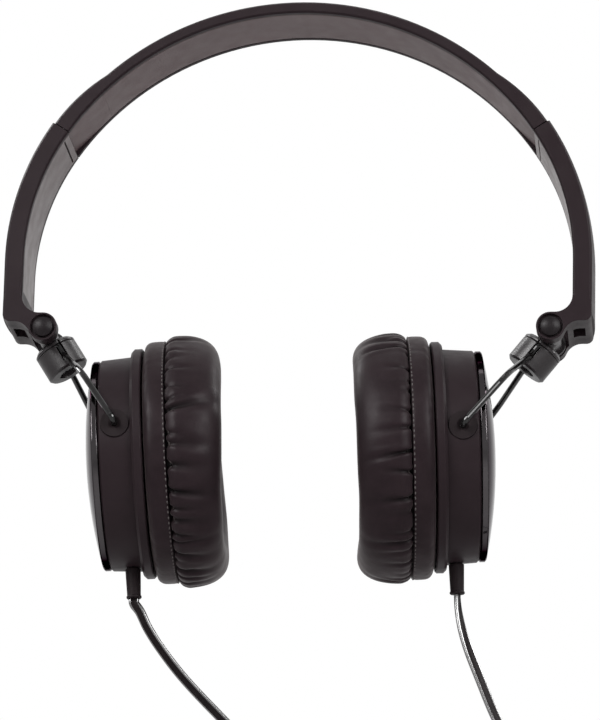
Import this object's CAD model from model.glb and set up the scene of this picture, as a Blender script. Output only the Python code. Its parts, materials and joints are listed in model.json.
import json
import math
import random

import bmesh
import bpy
from mathutils import Matrix, Vector, noise


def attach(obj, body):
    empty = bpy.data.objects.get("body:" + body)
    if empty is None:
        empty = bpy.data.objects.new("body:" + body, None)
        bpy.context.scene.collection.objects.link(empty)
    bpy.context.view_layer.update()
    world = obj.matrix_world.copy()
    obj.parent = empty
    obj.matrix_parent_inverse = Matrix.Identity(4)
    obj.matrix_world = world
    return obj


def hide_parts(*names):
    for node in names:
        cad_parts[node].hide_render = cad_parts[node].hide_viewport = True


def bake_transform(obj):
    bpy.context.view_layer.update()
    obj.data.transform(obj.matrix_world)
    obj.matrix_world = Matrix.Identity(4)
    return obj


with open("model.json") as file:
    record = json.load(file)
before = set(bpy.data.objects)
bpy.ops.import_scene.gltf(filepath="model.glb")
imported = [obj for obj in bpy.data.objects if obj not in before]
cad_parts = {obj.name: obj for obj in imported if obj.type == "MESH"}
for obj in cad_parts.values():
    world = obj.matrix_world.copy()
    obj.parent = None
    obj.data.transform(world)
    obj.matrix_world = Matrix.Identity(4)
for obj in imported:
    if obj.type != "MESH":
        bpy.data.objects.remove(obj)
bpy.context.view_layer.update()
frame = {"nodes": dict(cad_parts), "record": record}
scene = bpy.context.scene
scene.view_settings.view_transform = "Standard"
MM = 0.001
NODES = frame["nodes"]
SIDES = ("left", "right")


# Camera: the photograph's own viewing angle and frame
IMAGE_W, IMAGE_H = 600, 720
CAMERA_AZIMUTH, CAMERA_ELEVATION, CAMERA_ROLL = 5.13, -17.08, 1.335
CAMERA_DISTANCE, FOCAL_PX, SENSOR_MM = 1.4, 4844.0, 36
TARGET, TARGET_PX = Vector((0, 0, -0.06)), (301.5, 222.9)


def make_camera():
    azimuth, elevation, roll = (
        math.radians(a) for a in (CAMERA_AZIMUTH, CAMERA_ELEVATION, CAMERA_ROLL))
    back = Vector((math.sin(azimuth) * math.cos(elevation),
                   -math.cos(azimuth) * math.cos(elevation), math.sin(elevation)))
    right = Vector((math.cos(azimuth), math.sin(azimuth), 0))
    up = back.cross(right)
    turned_right = right * math.cos(roll) + up * math.sin(roll)
    turned_up = up * math.cos(roll) - right * math.sin(roll)
    look = (turned_right * ((IMAGE_W / 2 - TARGET_PX[0]) / FOCAL_PX)
            + turned_up * ((TARGET_PX[1] - IMAGE_H / 2) / FOCAL_PX) - back).normalized()
    z = -look
    x = (turned_right - look * turned_right.dot(look)).normalized()
    y = z.cross(x)
    data = bpy.data.cameras.new("camera")
    data.sensor_width = SENSOR_MM
    data.lens = FOCAL_PX * SENSOR_MM / IMAGE_H
    data.clip_start, data.clip_end = 0.05, 50
    camera = bpy.data.objects.new("camera", data)
    scene.collection.objects.link(camera)
    place = TARGET + back * CAMERA_DISTANCE
    camera.matrix_world = Matrix((
        (x.x, y.x, z.x, place.x), (x.y, y.y, z.y, place.y),
        (x.z, y.z, z.z, place.z), (0, 0, 0, 1)))
    scene.camera = camera


make_camera()


# Material helpers
class Shader:
    """A material under construction: a Principled shader with object-space coordinates.

    Noise scales are per metre, so a scale of 1000 has features of about 1 mm.
    """

    def __init__(self, name, colour, rough, **sockets):
        self.material = bpy.data.materials.new(name)
        self.material.use_nodes = True
        self.tree = self.material.node_tree
        self.bsdf = self.tree.nodes["Principled BSDF"]
        self.bsdf.inputs["Base Color"].default_value = (*colour, 1)
        self.bsdf.inputs["Roughness"].default_value = rough
        for key, value in sockets.items():
            self.bsdf.inputs[key.replace("_", " ")].default_value = value
        self.normal = None
        self.place = self.node("ShaderNodeTexCoord").outputs["Object"]

    def node(self, kind, **settings):
        made = self.tree.nodes.new(kind)
        for key, value in settings.items():
            setattr(made, key, value)
        return made

    def link(self, a, b):
        self.tree.links.new(a, b)

    def noise(self, scale, detail, rough=0.5, stretch=None):
        made = self.node("ShaderNodeTexNoise")
        made.inputs["Scale"].default_value = scale
        made.inputs["Detail"].default_value = detail
        made.inputs["Roughness"].default_value = rough
        source = self.place
        if stretch:
            mapping = self.node("ShaderNodeMapping")
            mapping.inputs["Scale"].default_value = stretch
            self.link(source, mapping.inputs["Vector"])
            source = mapping.outputs["Vector"]
        self.link(source, made.inputs["Vector"])
        return made.outputs["Fac"]

    def cells(self, scale):
        made = self.node("ShaderNodeTexVoronoi", feature="DISTANCE_TO_EDGE")
        made.inputs["Scale"].default_value = scale
        self.link(self.place, made.inputs["Vector"])
        return made.outputs["Distance"]

    def ranged(self, value, low, high, from_low=0.3, from_high=0.7):
        made = self.node("ShaderNodeMapRange")
        made.inputs["From Min"].default_value = from_low
        made.inputs["From Max"].default_value = from_high
        made.inputs["To Min"].default_value = low
        made.inputs["To Max"].default_value = high
        self.link(value, made.inputs["Value"])
        return made.outputs["Result"]

    def mix(self, value, first, second):
        made = self.node("ShaderNodeMix", data_type="RGBA")
        made.inputs["A"].default_value = (*first, 1)
        made.inputs["B"].default_value = (*second, 1)
        self.link(value, made.inputs["Factor"])
        return made.outputs["Result"]

    def over(self, value, first, second):
        """The colour output `first`, with the plain colour `second` over it where value is 1."""
        made = self.node("ShaderNodeMix", data_type="RGBA")
        self.link(first, made.inputs["A"])
        made.inputs["B"].default_value = (*second, 1)
        self.link(value, made.inputs["Factor"])
        return made.outputs["Result"]

    def times(self, first, second):
        made = self.node("ShaderNodeMath", operation="MULTIPLY")
        self.link(first, made.inputs[0])
        self.link(second, made.inputs[1])
        return made.outputs[0]

    def edge_mask(self):
        """1 on sharp edges, where the rounded normal leaves the surface's own."""
        made = self.node("ShaderNodeVectorMath", operation="DOT_PRODUCT")
        self.link(self.normal, made.inputs[0])
        self.link(self.node("ShaderNodeNewGeometry").outputs["Normal"], made.inputs[1])
        return self.ranged(made.outputs["Value"], 1, 0, 0.8, 0.98)

    def bump(self, height, depth, strength):
        made = self.node("ShaderNodeBump")
        made.inputs["Strength"].default_value = strength
        made.inputs["Distance"].default_value = depth
        self.link(height, made.inputs["Height"])
        if self.normal:
            self.link(self.normal, made.inputs["Normal"])
        self.normal = made.outputs["Normal"]

    def soft_edges(self, radius):
        made = self.node("ShaderNodeBevel", samples=6)
        made.inputs["Radius"].default_value = radius
        self.normal = made.outputs["Normal"]

    def colour(self, output):
        self.link(output, self.bsdf.inputs["Base Color"])

    def roughness(self, output):
        self.link(output, self.bsdf.inputs["Roughness"])

    def done(self):
        if self.normal:
            self.link(self.normal, self.bsdf.inputs["Normal"])
        return self.material


RUB_LIGHTER, METAL_EDGE = 1.7, 0.15


def moulded(name, dark, light, rough, specular, edge=0.25, grain=0.00002):
    """Moulded plastic: fine grain, cloudy tone and gloss, and edges rubbed a little lighter."""
    s = Shader(name, dark, rough, Specular_IOR_Level=specular)
    s.soft_edges(edge * MM)
    tone = s.mix(s.ranged(s.noise(60, 4), 0, 1), dark, light)
    worn = s.ranged(s.noise(420, 4, 0.6), 0, 1, 0.45, 0.75)
    rubbed = tuple(RUB_LIGHTER * c for c in light)
    s.colour(s.over(s.times(s.edge_mask(), worn), tone, rubbed))
    s.roughness(s.ranged(s.noise(220, 3), rough - 0.05, rough + 0.06))
    s.bump(s.noise(3200, 2), grain, 0.6)
    return s.done()


def metal(name, dark, light, rough, stretch):
    """Bare or plated metal with fine marks set closer along one axis."""
    s = Shader(name, dark, rough, Metallic=1.0)
    s.soft_edges(METAL_EDGE * MM)
    brushed = s.noise(900, 3, 0.6, stretch)
    s.colour(s.mix(s.ranged(brushed, 0, 1), dark, light))
    s.roughness(s.ranged(brushed, rough - 0.08, rough + 0.1))
    s.bump(brushed, 0.00001, 0.4)
    return s.done()


MATERIALS = {
    "shell": moulded("shell_plastic", (0.0164, 0.0104, 0.0124), (0.0208, 0.0140, 0.0162),
                     rough=0.42, specular=0.055),
    "liner": moulded("liner_plastic", (0.098, 0.0680, 0.0700), (0.120, 0.0860, 0.0885),
                     rough=0.5, specular=0.22, edge=0.3, grain=0.00004),
    "cover": moulded("cover_plastic", (0.084, 0.0600, 0.0610), (0.101, 0.0745, 0.0755),
                     rough=0.36, specular=0.22, edge=0.2),
    "barrel": moulded("barrel_plastic", (0.0115, 0.0088, 0.0098), (0.0160, 0.0126, 0.0138),
                      rough=0.34, specular=0.3, edge=0.2),
    "boot": moulded("boot_rubber", (0.0135, 0.0095, 0.0105), (0.0185, 0.0135, 0.0148),
                    rough=0.55, specular=0.05, edge=0.15, grain=0.00003),
    "driver": moulded("driver_plastic", (0.05, 0.05, 0.052), (0.07, 0.07, 0.073),
                      rough=0.5, specular=0.4),
    "film": moulded("driver_film", (0.55, 0.54, 0.5), (0.62, 0.6, 0.56),
                    rough=0.3, specular=0.5, edge=0.1),
    "steel": metal("brushed_steel", (0.42, 0.42, 0.43), (0.55, 0.55, 0.56), 0.32, (1, 12, 1)),
    "magnet": metal("magnet_iron", (0.27, 0.27, 0.28), (0.36, 0.36, 0.37), 0.42, (1, 1, 6)),
    "coil": metal("copper_winding", (0.55, 0.28, 0.12), (0.68, 0.38, 0.18), 0.3, (1, 1, 30)),
    "jack": metal("gold_plating", (0.78, 0.58, 0.24), (0.86, 0.67, 0.32), 0.16, (1, 1, 20)),
}


def pin_material():
    s = Shader("pin_finish", (0.012, 0.0095, 0.0105), 0.4, Specular_IOR_Level=0.07)
    s.soft_edges(0.2 * MM)
    s.colour(s.mix(s.ranged(s.noise(400, 3), 0, 1),
                   (0.0105, 0.0082, 0.0092), (0.016, 0.0130, 0.0142)))
    s.roughness(s.ranged(s.noise(500, 3), 0.34, 0.46))
    s.bump(s.noise(2500, 2), 0.00002, 0.5)
    return s.done()


def wire_material():
    s = Shader("wire_coating", (0.006, 0.006, 0.006), 0.1, Specular_IOR_Level=0.25)
    s.colour(s.mix(s.ranged(s.noise(300, 3), 0, 1),
                   (0.005, 0.0046, 0.0047), (0.010, 0.009, 0.0092)))
    s.roughness(s.ranged(s.noise(700, 2), 0.05, 0.11))
    s.bump(s.noise(500, 2), 0.00001, 0.3)
    return s.done()


def cap_material():
    s = Shader("cap_gloss", (0.045, 0.042, 0.0435), 0.08, Metallic=1.0,
               Specular_Tint=(0.2, 0.185, 0.195, 1))
    s.soft_edges(0.3 * MM)
    s.colour(s.mix(s.ranged(s.noise(80, 3), 0, 1), (0.040, 0.036, 0.038), (0.050, 0.046, 0.048)))
    s.roughness(s.ranged(s.noise(300, 4), 0.06, 0.12))
    s.bump(s.noise(90, 2), 0.00003, 0.25)
    return s.done()


def pad_material():
    s = Shader("pad_leatherette", (0.0169, 0.0100, 0.0120), 0.46, Specular_IOR_Level=0.055,
               Sheen_Weight=0.1, Sheen_Roughness=0.4, Sheen_Tint=(1, 0.88, 0.86, 1))
    skin = s.mix(s.ranged(s.noise(140, 5, 0.6), 0, 1),
                 (0.0132, 0.0078, 0.0096), (0.0192, 0.0120, 0.0143))
    fold = s.node("ShaderNodeAttribute", attribute_name="fold").outputs["Fac"]
    s.colour(s.over(fold, skin, (0.0025, 0.0018, 0.002)))
    s.roughness(s.ranged(s.noise(260, 4), 0.38, 0.52))
    s.bump(s.cells(900), 0.00005, 0.45)
    s.bump(s.noise(420, 4, 0.6), 0.00006, 0.5)
    return s.done()


def thread_material():
    s = Shader("pad_thread", (0.03, 0.026, 0.026), 0.6, Specular_IOR_Level=0.25)
    s.colour(s.mix(s.noise(3000, 2), (0.045, 0.039, 0.039), (0.10, 0.088, 0.086)))
    s.bump(s.noise(5000, 2, 0.5, (1, 1, 0.3)), 0.00003, 0.6)
    return s.done()


def cloth_material():
    s = Shader("driver_cloth", (0.014, 0.014, 0.0145), 0.85, Specular_IOR_Level=0.2)
    wave_a = s.node("ShaderNodeTexWave", bands_direction="Y")
    wave_b = s.node("ShaderNodeTexWave", bands_direction="Z")
    for w in (wave_a, wave_b):
        w.inputs["Scale"].default_value = 420
        w.inputs["Distortion"].default_value = 0.4
        s.link(s.place, w.inputs["Vector"])
    weave = s.times(wave_a.outputs["Fac"], wave_b.outputs["Fac"])
    s.colour(s.mix(weave, (0.008, 0.008, 0.0085), (0.026, 0.026, 0.027)))
    s.bump(weave, 0.0001, 0.7)
    return s.done()


def cord_material():
    s = Shader("cord_sleeve", (0.011, 0.0085, 0.009), 0.34, Specular_IOR_Level=0.035)
    s.colour(s.mix(s.ranged(s.noise(200, 3), 0, 1),
                   (0.0085, 0.0062, 0.0068), (0.0135, 0.0105, 0.0112)))
    s.roughness(s.ranged(s.noise(400, 3), 0.28, 0.42))
    s.bump(s.noise(900, 2), 0.00002, 0.4)
    return s.done()


def cord_edge_material():
    s = Shader("cord_edge", (0.011, 0.009, 0.0095), 0.28, Specular_IOR_Level=1.0,
               Coat_Weight=1.0, Coat_Roughness=0.24)
    s.colour(s.mix(s.ranged(s.noise(200, 3), 0, 1),
                   (0.0085, 0.0068, 0.0072), (0.0135, 0.011, 0.0116)))
    s.roughness(s.ranged(s.noise(400, 3), 0.25, 0.31))
    s.bump(s.noise(700, 2), 0.00001, 0.3)
    return s.done()


MATERIALS.update(
    pin=pin_material(), wire=wire_material(), cap=cap_material(), pad=pad_material(),
    thread=thread_material(), cloth=cloth_material(), cord=cord_material(),
    cord_edge=cord_edge_material())


def dress(obj, material):
    obj.data.materials.clear()
    obj.data.materials.append(material)


for part in frame["record"]["subparts"]:
    dress(NODES[part["node"]], MATERIALS[part["material_slot"]])


# Frames of the moving bodies, from the same values as the part's source
PIN = Vector((72.546, 0, -94.489))
BAIL_OFFSET, BAIL_LEN, PIVOT_RISE = 1.0, 41.0, 3.8
YOKE = {"left": 32.5, "right": 38.5}
SWIVEL = {"left": 2.5, "right": -7.0}
TILT = {"left": 4.0, "right": -2.5}


def turn(degrees, axis):
    return Matrix.Rotation(math.radians(degrees), 4, axis)


def swivel_frame(side):
    flip = Matrix.Diagonal((-1, 1, 1, 1)) if side == "left" else Matrix.Identity(4)
    return flip @ Matrix.Translation(PIN) @ turn(180 + YOKE[side], "Y") @ turn(SWIVEL[side], "Z")


def cup_frame(side):
    """The pivot at the origin, +Z outwards, +X down, in millimetres."""
    hang = Matrix.Translation((BAIL_OFFSET, 0, BAIL_LEN))
    return swivel_frame(side) @ hang @ turn(TILT[side] - 90 - YOKE[side], "Y")


def mesh_object(name, verts, faces, material):
    mesh = bpy.data.meshes.new(name)
    mesh.from_pydata([tuple(v) for v in verts], [], faces)
    mesh.validate()
    work = bmesh.new()
    work.from_mesh(mesh)
    bmesh.ops.recalc_face_normals(work, faces=work.faces)
    work.to_mesh(mesh)
    work.free()
    mesh.polygons.foreach_set("use_smooth", [True] * len(mesh.polygons))
    mesh.materials.append(material)
    obj = bpy.data.objects.new(name, mesh)
    scene.collection.objects.link(obj)
    return obj


# Flat cord: each route point is a place in millimetres and a twist in degrees
CORD_W, CORD_T, CORNER = 3.0, 1.3, 0.6
GROOVE_DEEP, GROOVE_W, GROOVE_AT, FLAT_SHARE = 0.09, 0.45, (0.5, 0.2, 0.0, -0.2, -0.5), 0.9
EDGE_SHARE = 1.6
HANK_X, HANK_Z, RUN_Y = 40.0, -286.0, -6.6
SPLIT_Z, SPLIT_LEN = HANK_Z + 12, 12
LEG_STOPS = (0.036, 0.072, 0.112)
LEG_STEPS, LEAD_STEPS, TURN_STEPS = 6, 4, 48
LEGS = {
    "left": {
        "start": (-45.049, -0.794, -171.505), "way": (0.0701, -0.0208, -0.9973), "twist": 0,
        "route": [
            (-43.2, -0.7, -175.4, -20), (-40.8, -0.6, -180.2, -25), (-36.8, -0.5, -186.2, -25),
            (-30.6, -0.3, -194, -25), (-21.6, 0, -203.4, -25), (-8, -0.5, -216.6, -22),
            (8, -2, -228.6, 16), (20, -5, -240, 60), (25.4, -6.4, -254, 86),
            (26, -6.6, -272, 90), (26, -6.6, -308, 90), (26, -6.6, -318, 90),
            (27.8, -6.6, -322.2, 90), (32, -6.6, -324, 90), (36.2, -6.6, -322.2, 90),
            (38, -6.6, -318, 90), (38, -6.6, -306, 90)]},
    "right": {
        "start": (46.373, 3.185, -169.061), "way": (0.0398, 0.0800, -0.9960), "twist": 70,
        "route": [
            (46.9, 3, -174.5, 60), (48.1, 2.4, -180, 44), (50.2, 1.7, -186.4, 31),
            (53.4, 0.9, -194.4, 25), (57, 0.2, -203.2, 23), (62.2, -1, -214.8, 26),
            (64, -3, -228, 44), (60, -5, -241, 70), (55.4, -6.4, -254, 90),
            (54, -6.6, -272, 90), (54, -6.6, -318, 90), (54, -6.6, -330, 90),
            (52.2, -6.6, -334.2, 90), (48, -6.6, -336, 90), (43.8, -6.6, -334.2, 90),
            (42, -6.6, -330, 90), (42, -6.6, -318, 90)]},
}


def curve_through(points, steps):
    """The source's own curve through its route points, sampled finer."""
    out = []
    last = len(points) - 1
    for i in range(last):
        near = list(zip(points[max(0, i - 1)], points[i], points[i + 1], points[min(last, i + 2)]))
        for k in range(steps):
            u = k / steps
            out.append(tuple(0.5 * (2 * q + (r - p) * u + (2 * p - 5 * q + 4 * r - s) * u * u
                                    + (3 * q - p - 3 * r + s) * u ** 3) for p, q, r, s in near))
    out.append(tuple(points[last]))
    return out


def cord_outline():
    """Flat ribbon: two faces with a shallow groove, and two narrow sides with rounded corners."""
    points = []
    half, thick = CORD_W / 2 - CORNER, CORD_T / 2 - CORNER
    for q in range(4):
        x0, y0 = (half, -half, -half, half)[q], (thick, thick, -thick, -thick)[q]
        for k in range(4):
            a = math.radians(90 * q + 30 * k)
            points.append((x0 + CORNER * math.cos(a), y0 + CORNER * math.sin(a)))
        if q in (0, 2):
            turn_sign = 1 if q == 0 else -1
            for f in GROOVE_AT:
                dip = GROOVE_DEEP * math.exp(-(f * 2 * half / GROOVE_W) ** 2)
                points.append((f * 2 * half * turn_sign * FLAT_SHARE,
                               (thick + CORNER - dip) * turn_sign))
    return points


OUTLINE = cord_outline()


def cord_rings(path, first_way, last_way):
    """The outline set square to the path at each point, turned by the point's twist."""
    rings = []
    for i, p in enumerate(path):
        a, b = path[max(0, i - 1)], path[min(len(path) - 1, i + 1)]
        way = (Vector(b[:3]) - Vector(a[:3])).normalized()
        if i == 0:
            way = Vector(first_way)
        if i == len(path) - 1:
            way = Vector(last_way)
        across = way.cross(Vector((0, 1, 0))).normalized()
        up = across.cross(way)
        t = math.radians(p[3])
        wide = across * math.cos(t) + up * math.sin(t)
        thin = up * math.cos(t) - across * math.sin(t)
        rings.append([(Vector(p[:3]) + wide * x + thin * y) * MM for x, y in OUTLINE])
    return rings


def ribbon(name, rings, cap_first=True, cap_last=True):
    n = len(OUTLINE)
    verts = [v for r in rings for v in r]
    faces = [(i * n + k, i * n + (k + 1) % n, (i + 1) * n + (k + 1) % n, (i + 1) * n + k)
             for i in range(len(rings) - 1) for k in range(n)]
    if cap_first:
        faces.append(tuple(range(n)))
    if cap_last:
        faces.append(tuple((len(rings) - 1) * n + k for k in range(n)))
    obj = mesh_object(name, verts, faces, MATERIALS["cord"])
    obj.data.materials.append(MATERIALS["cord_edge"])
    widest = CORD_W - EDGE_SHARE * CORNER
    side_faces = {k for k in range(n) if abs(OUTLINE[k][0] + OUTLINE[(k + 1) % n][0]) > widest}
    for face in obj.data.polygons:
        if face.index < (len(rings) - 1) * n and face.index % n in side_faces:
            face.material_index = 1
    return obj


def length_of(path):
    return sum((Vector(b[:3]) - Vector(a[:3])).length for a, b in zip(path, path[1:])) * MM


def make_leg(side):
    """One leg in four stretches, so that it stays joined while its joints move."""
    leg = LEGS[side]
    start, way = Vector(leg["start"]), Vector(leg["way"])
    out = start + way * CORD_W / 2
    end_x = leg["route"][-1][0]
    points = [(*start, leg["twist"]), (*out, leg["twist"]), *leg["route"],
              (end_x, RUN_Y, SPLIT_Z, 90)]
    path = curve_through(points, LEG_STEPS)
    rings = cord_rings(path, leg["way"], (0, 0, 1))
    total, at = length_of(path), [0.0]
    for a, b in zip(path, path[1:]):
        at.append(at[-1] + (Vector(b[:3]) - Vector(a[:3])).length * MM)
    chain = [f"{side}_cup", f"{side}_swivel", f"{side}_yoke", f"{side}_arm", "headband"]
    stops = [0.0, *LEG_STOPS, total]
    cuts = [min(range(len(at)), key=lambda i: abs(at[i] - s)) for s in stops]
    for k in range(len(chain) - 1):
        a, b = cuts[k], cuts[k + 1]
        piece = ribbon(f"{side}_leg_{k + 1}", rings[a:b + 1], k == 0, k == len(chain) - 2)
        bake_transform(piece)
        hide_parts(f"{side}_cord")


# The hank: whole turn and first angle, outer size and step a turn, stretch, layers and climb
HANK_TURN, HANK_START = 70 + 360 * 6, 35
HANK_OUT, HANK_STEP, HANK_LONG = 19.0, 3.1, 16.0
LAYER_Y, CLIMB = 1.8, 50
WAIST_FULL, WAIST_IN = 1.4, 0.7
PLUG_ASIDE, PLUG_DROP, OUT_DROP, GRIP_RUN = 0.5, 36, 27, 4.5


def hank_point(t):
    """A point t degrees along the hank, which spirals in, climbs a layer and spirals out."""
    size = HANK_OUT - HANK_STEP * (HANK_TURN / 2 - abs(t - HANK_TURN / 2)) / 360
    a = math.radians(HANK_START - t)
    u = max(-1.0, min(1.0, (t - HANK_TURN / 2) / CLIMB))
    x = HANK_X + size * math.cos(a) * (WAIST_FULL - WAIST_IN * math.cos(a) ** 2)
    return (x, LAYER_Y * math.sin(math.pi / 2 * u), HANK_Z + (HANK_LONG + size) * math.sin(a), 90)


def make_main_cord():
    """The joined cord, from the split round the hank to the plug."""
    top = SPLIT_Z + SPLIT_LEN
    lead_in = [
        (HANK_X, RUN_Y, top, 90), (HANK_X, RUN_Y, top + 3, 90), (HANK_X + 1, -6.2, top + 8, 90),
        (HANK_X + 4, -5, top + 12, 90), (HANK_X + 8, -3.6, top + 13, 90),
        (HANK_X + 12, -2.4, top + 10, 90), (HANK_X + 14, -1.9, top + 4, 90)]
    count = math.ceil(HANK_TURN / 360 * TURN_STEPS)
    hank = [hank_point(HANK_TURN * i / count) for i in range(count + 1)]
    plug_x, plug_z = hank[-1][0] + PLUG_ASIDE, HANK_Z - PLUG_DROP
    lead_out = [(plug_x, LAYER_Y, HANK_Z - OUT_DROP, 90),
                (plug_x, LAYER_Y, plug_z + GRIP_RUN, 90), (plug_x, LAYER_Y, plug_z, 90)]
    path = curve_through(lead_in, LEAD_STEPS) + hank[1:-1] + curve_through(lead_out, LEAD_STEPS)
    piece = ribbon("main_cord_hank", cord_rings(path, (0, 0, 1), (0, 0, -1)))
    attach(piece, "headband")
    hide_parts("main_cord")


for side in SIDES:
    make_leg(side)
make_main_cord()


# Ear pads: rear lobe, sewn seam and a gathered main lobe, in the cup's own millimetres
PAD_BACK, SEAM_Z, PAD_DEPTH = -7.8, -14.3, 15.0
SKIRT_R, RECESS_R = 34.5, 18.6
PAD_R = {"left": 35.9, "right": 35.4}
LOBE_FULLEST, LOBE_OUTER, LOBE_INNER, REAR_BEND = 3.8, 0.84, 0.75, 0.5
SEAM_OVERLAP, SEAM_IN, RECESS_IN = 1.6, (2.0, 2.3), 0.6
FLAT_STEPS, REAR_STEPS, REAR_SWEEP = 5, 24, 118
MAIN_STEPS, MAIN_FROM, MAIN_SWEEP, PAST_CROWN = 74, 60, 230, 40
# How each pad has set: flattened towards its far side, leaning at its top, fuller as a whole
PRESS, PRESS_ALL, PRESS_FAR = {"left": 0.0, "right": 3.0}, 0.6, 0.4
LEAN = {"left": 0.19, "right": 0.10}
DEEP = {"left": 1.0, "right": 1.08}


def power(v, e):
    return math.copysign(abs(v) ** e, v)


def pad_profile(side):
    """Radius, height and zone of each point, from the inner rear edge to the recess.

    It runs over the rear lobe, the seam and the main lobe.
    """
    points = []
    # rear lobe, from its flat rear face round to the seam
    z_mid = (PAD_BACK + SEAM_Z - SEAM_OVERLAP) / 2
    z_half = (PAD_BACK - SEAM_Z + SEAM_OVERLAP) / 2
    r_mid, r_half = (SKIRT_R + RECESS_R) / 2, (SKIRT_R - RECESS_R) / 2
    for i in range(FLAT_STEPS):
        points.append((RECESS_R + 0.4 + (r_mid - RECESS_R) * i / FLAT_STEPS, PAD_BACK, "rear"))
    for i in range(REAR_STEPS + 1):
        a = math.radians(90 - REAR_SWEEP * i / REAR_STEPS)
        r = r_mid + r_half * power(math.cos(a), REAR_BEND)
        z = z_mid + z_half * power(math.sin(a), REAR_BEND)
        if z > SEAM_Z + 0.15:
            points.append((r, z, "rear"))
    points.append((SKIRT_R - SEAM_IN[0], SEAM_Z + 0.1, "seam"))
    points.append((SKIRT_R - SEAM_IN[1], SEAM_Z - 0.1, "seam"))
    # main lobe, over its crown and down the recess
    z_mid = SEAM_Z - LOBE_FULLEST
    inner = RECESS_R - RECESS_IN
    r_mid, r_half = (PAD_R[side] + inner) / 2, (PAD_R[side] - inner) / 2
    for i in range(MAIN_STEPS + 1):
        a = math.radians(MAIN_FROM - MAIN_SWEEP * i / MAIN_STEPS)
        z_half = LOBE_FULLEST + SEAM_OVERLAP if a > 0 else PAD_DEPTH - LOBE_FULLEST
        bend = LOBE_OUTER if math.cos(a) > 0 else LOBE_INNER
        r, z = r_mid + r_half * power(math.cos(a), bend), z_mid + z_half * power(math.sin(a), bend)
        if i > PAST_CROWN or z < SEAM_Z - 0.25:
            points.append((r, z, "main"))
    points.append((inner + 0.1, SEAM_Z - 1, "recess"))
    points.append((inner + 0.2, PAD_BACK - 1.5, "recess"))
    return points


# Grid of the skin and of the coarser cloth, which is simulated in units of 10 centimetres
AROUND, SIM_AROUND, SIM_STEP = 720, 120, 3
SIM_SCALE, SIM_FRAMES, SLACK, SLACK_RUN, SWELL_CAP = 0.01, 20, 1.2, 7.0, 1.4
CLOTH = {"quality": 5, "mass": 0.3, "use_pressure": True, "uniform_pressure_force": 4,
         "shrink_min": -0.03, "vertex_group_mass": "held"}
# Folds: first angle, steps between them, depth, half width, length and slant
CREASES = (0.0, (4.5, 12.5), (0.45, 1.7), (0.45, 0.85), (3.5, 11.5), 14)
RIPPLES = (1.5, (2.6, 6.5), (0.05, 0.42), (0.4, 0.75), (1.0, 3.2), 5)
TUCKS = (3.0, (4.5, 9), (0.05, 0.22), (0.7, 1.3), (1.3, 3.2), 4)
CREASE_SEED, MOSTLY_SMALL = {"left": 11, "right": 29}, 1.15
# A fold ends, widens and slants with its length, and has a low shoulder on either side
FOLD_END, FOLD_SPREAD, FOLD_SIDE, SLANT_RUN, NEAR_FOLD = 2.4, 0.09, 5, 40, 14
SHOULDER, SHOULDER_AT, SHOULDER_W = 0.35, 2.1, 1.1
FOLD_DARK, PROUD, REAR_SWELL = 0.85, 0.3, 0.15
UNEVEN, UNEVEN_AROUND, UNEVEN_ALONG = 0.25, 2.2, 0.05
STITCH_COUNT, STITCH_LONG, STITCH_W, STITCH_Z = 136, 1.15, 0.2, SEAM_Z + 0.55
STITCH_RINGS, STITCH_SIDES, STITCH_TIP, STITCH_SINK = 7, 8, 0.06, 0.22
STITCH_STRAY, STITCH_SLANT, STITCH_SEED = 0.12, (-0.1, 0.16), 100


def outward(profile, i):
    """Direction off the skin at a profile point, in radius and height."""
    before, after = profile[max(0, i - 1)], profile[min(len(profile) - 1, i + 1)]
    tangent = Vector((after[0] - before[0], after[1] - before[1]))
    return Vector((-tangent.y, tangent.x)).normalized() if tangent.length else Vector((1, 0))


def is_soft(point):
    return point[2] == "main" or (point[2] == "rear" and point[1] < PAD_BACK - 0.6)


def slack_along(profile):
    """How far inside its full shape the skin starts, nothing where it is sewn down."""
    travel = [0.0]
    for a, b in zip(profile, profile[1:]):
        travel.append(travel[-1] + math.hypot(b[0] - a[0], b[1] - a[1]))
    fixed = [s for s, p in zip(travel, profile) if not is_soft(p)]
    near = [min(abs(s - f) for f in fixed) for s in travel]
    return travel, [SLACK * min(1.0, d / SLACK_RUN) for d in near]


def ring_faces(around, n):
    faces = []
    for k in range(around):
        m = (k + 1) % around
        faces += [(k * n + i, k * n + i + 1, m * n + i + 1, m * n + i) for i in range(n - 1)]
        faces.append((k * n + n - 1, k * n, m * n, m * n + n - 1))
    return faces


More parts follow.
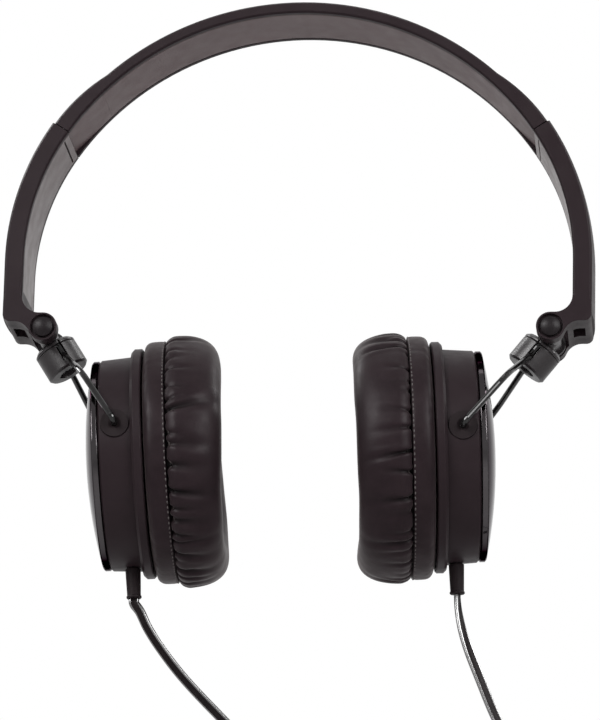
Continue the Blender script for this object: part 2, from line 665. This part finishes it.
def swell(profile):
    """Cloth filled with air and held along its sewn edges.

    Gives each point's move off the skin, in millimetres.
    """
    rows = list(range(0, len(profile), SIM_STEP))
    n = len(rows)
    slack = slack_along(profile)[1]
    verts, held, off = [], [], []
    for k in range(SIM_AROUND):
        theta = 2 * math.pi * k / SIM_AROUND
        for i in rows:
            r, z, _ = profile[i]
            out = outward(profile, i)
            r, z = r - slack[i] * out.x, z - slack[i] * out.y
            if not is_soft(profile[i]):
                held.append(len(verts))
            verts.append(Vector((r * math.cos(theta), r * math.sin(theta), z)) * SIM_SCALE)
            off.append(Vector((out.x * math.cos(theta), out.x * math.sin(theta), out.y)))
    obj = mesh_object("swell", verts, ring_faces(SIM_AROUND, n), MATERIALS["pad"])
    group = obj.vertex_groups.new(name="held")
    group.add(held, 1.0, "REPLACE")
    cloth = obj.modifiers.new("cloth", "CLOTH")
    for key, value in CLOTH.items():
        setattr(cloth.settings, key, value)
    cloth.settings.effector_weights.gravity = 0
    cloth.point_cache.frame_start, cloth.point_cache.frame_end = 1, SIM_FRAMES
    for number in range(1, SIM_FRAMES + 1):
        scene.frame_set(number)
    shaped = obj.evaluated_get(bpy.context.evaluated_depsgraph_get()).to_mesh()
    moves = [max(-SWELL_CAP, min(SWELL_CAP, (v.co - a).dot(d) / SIM_SCALE)) - slack[rows[k % n]]
             for k, (v, a, d) in enumerate(zip(shaped.vertices, verts, off))]
    scene.frame_set(1)
    mesh = obj.data
    bpy.data.objects.remove(obj)
    bpy.data.meshes.remove(mesh)
    return [moves[k * n:(k + 1) * n] for k in range(SIM_AROUND)]


def between(grid, k, i):
    """The coarse grid read at a fine grid's place, smoothly between its points."""
    u, v = k * SIM_AROUND / AROUND, min(i / SIM_STEP, len(grid[0]) - 1)
    k0, i0 = int(u), int(v)
    k1, i1 = (k0 + 1) % SIM_AROUND, min(i0 + 1, len(grid[0]) - 1)
    u, v = u - k0, v - i0
    first = grid[k0][i0] * (1 - u) + grid[k1][i0] * u
    second = grid[k0][i1] * (1 - u) + grid[k1][i1] * u
    return first * (1 - v) + second * v


def gathers(rng, first, steps, deep, wide, reach, skew):
    """Folds that start at the seam: angle, depth, half width, length and slant."""
    folds, angle = [], first
    while angle < 360:
        size = rng.random() ** MOSTLY_SMALL
        folds.append((
            angle, deep[0] + (deep[1] - deep[0]) * size, rng.uniform(*wide),
            reach[0] + (reach[1] - reach[0]) * (0.5 * size + 0.5 * rng.random()),
            rng.uniform(-skew, skew)))
        angle += rng.uniform(*steps)
    return folds


def fold_move(folds, theta, d, r):
    """How far the folds draw the skin in or leave it proud, d millimetres from the seam."""
    move = 0.0
    for at, deep, wide, reach, skew in folds:
        if d > FOLD_END * reach:
            continue
        gap = (math.degrees(theta) - at - skew * d / SLANT_RUN + 180) % 360 - 180
        x = abs(math.radians(gap) * r / (wide * (1 + FOLD_SPREAD * d)))
        if x < FOLD_SIDE:
            fade = math.exp(-(d / reach) ** 2)
            shoulder = SHOULDER * math.exp(-((x - SHOULDER_AT) / SHOULDER_W) ** 2)
            move -= deep * fade * (math.exp(-x * x) - shoulder)
    return move


def folds_near(folds, degrees):
    return [f for f in folds if abs((degrees - f[0] + 180) % 360 - 180) < NEAR_FOLD]


def set_height(side, theta, z):
    """The height z of the main lobe as the pad has set, at the angle theta."""
    away = math.sin(theta)
    fill = DEEP[side] - LEAN[side] * away * (1 - math.cos(theta)) / 2
    flat = PRESS[side] / PAD_DEPTH * away ** 2 * (PRESS_ALL + PRESS_FAR * away)
    return SEAM_Z + (z - SEAM_Z) * (fill - flat)


def make_pad(side):
    """One pad's skin; gives its radius and height at the stitches for every angle."""
    rng = random.Random(CREASE_SEED[side])
    profile = pad_profile(side)
    n = len(profile)
    travel = slack_along(profile)[0]
    seam_at = [t for t, p in zip(travel, profile) if p[2] == "seam"]
    seam_s = sum(seam_at) / len(seam_at)
    kinds = [gathers(rng, *kind) for kind in (CREASES, RIPPLES, TUCKS)]
    shift = rng.uniform(0, 50)
    moved = swell(profile)
    skin = [outward(profile, i) for i in range(n)]
    to_world = cup_frame(side)
    rear = [i for i in range(n) if profile[i][2] == "rear"]
    sewn = min(rear, key=lambda i: abs(profile[i][1] - STITCH_Z))
    verts, depth, edge = [], [], []
    for k in range(AROUND):
        theta = 2 * math.pi * k / AROUND
        creases, ripples, tucks = (folds_near(f, math.degrees(theta)) for f in kinds)
        for i, (r, z, zone) in enumerate(profile):
            move, fold = 0.0, 0.0 if zone != "seam" else 1.0
            if is_soft(profile[i]):
                d = travel[i] - seam_s
                uneven = Vector((math.cos(theta) * UNEVEN_AROUND, math.sin(theta) * UNEVEN_AROUND,
                                 travel[i] * UNEVEN_ALONG + shift))
                swelled = between(moved, k, i)
                move = UNEVEN * noise.noise(uneven) + (swelled if d > 0 else REAR_SWELL * swelled)
                if d > 0:
                    drawn = fold_move(creases, theta, d, r) + fold_move(ripples, theta, d, r)
                else:
                    drawn = fold_move(tucks, theta, -d, r)
                move += drawn
                fold = max(0.0, min(1.0, -drawn * FOLD_DARK))
                if move > 0:
                    move = PROUD * (1 - math.exp(-move / PROUD))
            rr, zz = r + skin[i].x * move, z + skin[i].y * move
            if zz < SEAM_Z:
                zz = set_height(side, theta, zz)
            place = Vector((PIVOT_RISE + rr * math.cos(theta), rr * math.sin(theta), zz))
            verts.append((to_world @ place) * MM)
            depth.append(fold)
            if i == sewn:
                edge.append((rr, zz))
    obj = mesh_object(f"{side}_cushion", verts, ring_faces(AROUND, n), MATERIALS["pad"])
    obj.data.attributes.new("fold", "FLOAT", "POINT").data.foreach_set("value", depth)
    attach(obj, f"{side}_cup")
    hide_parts(f"{side}_ear_pad")
    return edge


def make_stitches(side, edge):
    """Stitches along the rear lobe's edge of the seam, lying on the pad's own skin."""
    rng = random.Random(CREASE_SEED[side] + STITCH_SEED)
    to_world = cup_frame(side)
    verts, faces = [], []
    for k in range(STITCH_COUNT):
        theta = 2 * math.pi * (k + rng.uniform(-STITCH_STRAY, STITCH_STRAY)) / STITCH_COUNT
        out = Vector((math.cos(theta), math.sin(theta), 0))
        slant = rng.uniform(*STITCH_SLANT)
        along = Vector((-math.sin(theta), math.cos(theta), slant)).normalized()
        side_way = along.cross(out)
        r, z = edge[round(theta / (2 * math.pi) * AROUND) % AROUND]
        middle = Vector((PIVOT_RISE, 0, z)) + out * r
        first = len(verts)
        for j in range(STITCH_RINGS):
            u = 2 * j / (STITCH_RINGS - 1) - 1
            thick = STITCH_W * math.sqrt(max(STITCH_TIP, 1 - u * u))
            sunk = STITCH_SINK * u * u
            for q in range(STITCH_SIDES):
                a = 2 * math.pi * q / STITCH_SIDES
                p = (middle + along * (u * STITCH_LONG / 2) + out * (thick * math.cos(a) - sunk)
                     + side_way * (thick * math.sin(a)))
                verts.append((to_world @ p) * MM)
        for j in range(STITCH_RINGS - 1):
            here = first + j * STITCH_SIDES
            there = here + STITCH_SIDES
            for q in range(STITCH_SIDES):
                w = (q + 1) % STITCH_SIDES
                faces.append((here + q, here + w, there + w, there + q))
        faces.append(tuple(first + q for q in range(STITCH_SIDES)))
        faces.append(tuple(there + q for q in range(STITCH_SIDES)))
    obj = mesh_object(f"{side}_stitches", verts, faces, MATERIALS["thread"])
    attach(obj, f"{side}_cup")


for side in SIDES:
    make_stitches(side, make_pad(side))


# Stage and light
FLOOR_SIZE, FLOOR_Z, FLOOR_GLOW, ROOM_TONE = 8, -0.62, 0.6, 0.22
CENTRE = (0, 0, -0.09)
# Lamps: place, size in metres, watts, and whether only gloss shows them
LAMPS = {
    "key": ((-0.75, -1.1, 0.55), 0.6, 14, False),
    "fill": ((0.9, -1.0, 0.3), 0.6, 10, False),
    "top": ((0.0, 0.3, 1.2), 0.7, 4, False),
    "softbox_left": ((-0.85, -0.9, 0.5), 0.7, 24, True),
    "softbox_right": ((0.85, -0.9, 0.5), 0.7, 20, True),
    "side_left": ((-0.91, 0.42, 0.68), 0.4, 10, True),
    "side_right": ((0.91, 0.42, 0.68), 0.4, 10, True),
}


def background_rays(tree):
    """1 for the rays that show the background: seen directly, mirrored or through glass."""
    path = tree.nodes.new("ShaderNodeLightPath")
    seen = tree.nodes.new("ShaderNodeMath")
    seen.operation = "MAXIMUM"
    seen_all = tree.nodes.new("ShaderNodeMath")
    seen_all.operation = "MAXIMUM"
    tree.links.new(path.outputs["Is Camera Ray"], seen.inputs[0])
    tree.links.new(path.outputs["Is Glossy Ray"], seen.inputs[1])
    tree.links.new(seen.outputs[0], seen_all.inputs[0])
    tree.links.new(path.outputs["Is Transmission Ray"], seen_all.inputs[1])
    return seen_all.outputs[0]


def stage():
    bpy.ops.mesh.primitive_plane_add(size=FLOOR_SIZE, location=(0, 0, FLOOR_Z))
    floor = bpy.context.object
    floor.name = "floor"
    s = Shader("floor_paper", (0.82, 0.82, 0.82), 0.8)
    s.colour(s.mix(s.noise(3, 2), (0.80, 0.80, 0.80), (0.84, 0.84, 0.84)))
    lit = s.node("ShaderNodeMath", operation="MULTIPLY")
    s.link(background_rays(s.tree), lit.inputs[0])
    lit.inputs[1].default_value = FLOOR_GLOW
    s.bsdf.inputs["Emission Color"].default_value = (1, 1, 1, 1)
    s.link(lit.outputs[0], s.bsdf.inputs["Emission Strength"])
    dress(floor, s.done())

    world = bpy.data.worlds.new("studio")
    scene.world = world
    world.use_nodes = True
    tree = world.node_tree
    tree.nodes.clear()
    plain = tree.nodes.new("ShaderNodeBackground")
    plain.inputs["Color"].default_value = (ROOM_TONE, ROOM_TONE, ROOM_TONE, 1)
    white = tree.nodes.new("ShaderNodeBackground")
    white.inputs["Color"].default_value = (1, 1, 1, 1)
    mix = tree.nodes.new("ShaderNodeMixShader")
    out = tree.nodes.new("ShaderNodeOutputWorld")
    tree.links.new(background_rays(tree), mix.inputs[0])
    tree.links.new(plain.outputs[0], mix.inputs[1])
    tree.links.new(white.outputs[0], mix.inputs[2])
    tree.links.new(mix.outputs[0], out.inputs["Surface"])


def lamp(name, place, size, watts, gloss_only):
    data = bpy.data.lights.new(name, "AREA")
    data.shape = "SQUARE"
    data.size = size
    data.energy = watts
    obj = bpy.data.objects.new(name, data)
    scene.collection.objects.link(obj)
    obj.visible_diffuse = not gloss_only
    obj.location = place
    obj.rotation_mode = "QUATERNION"
    obj.rotation_quaternion = (Vector(CENTRE) - Vector(place)).to_track_quat("-Z", "Y")


stage()
for name, values in LAMPS.items():
    lamp(name, *values)
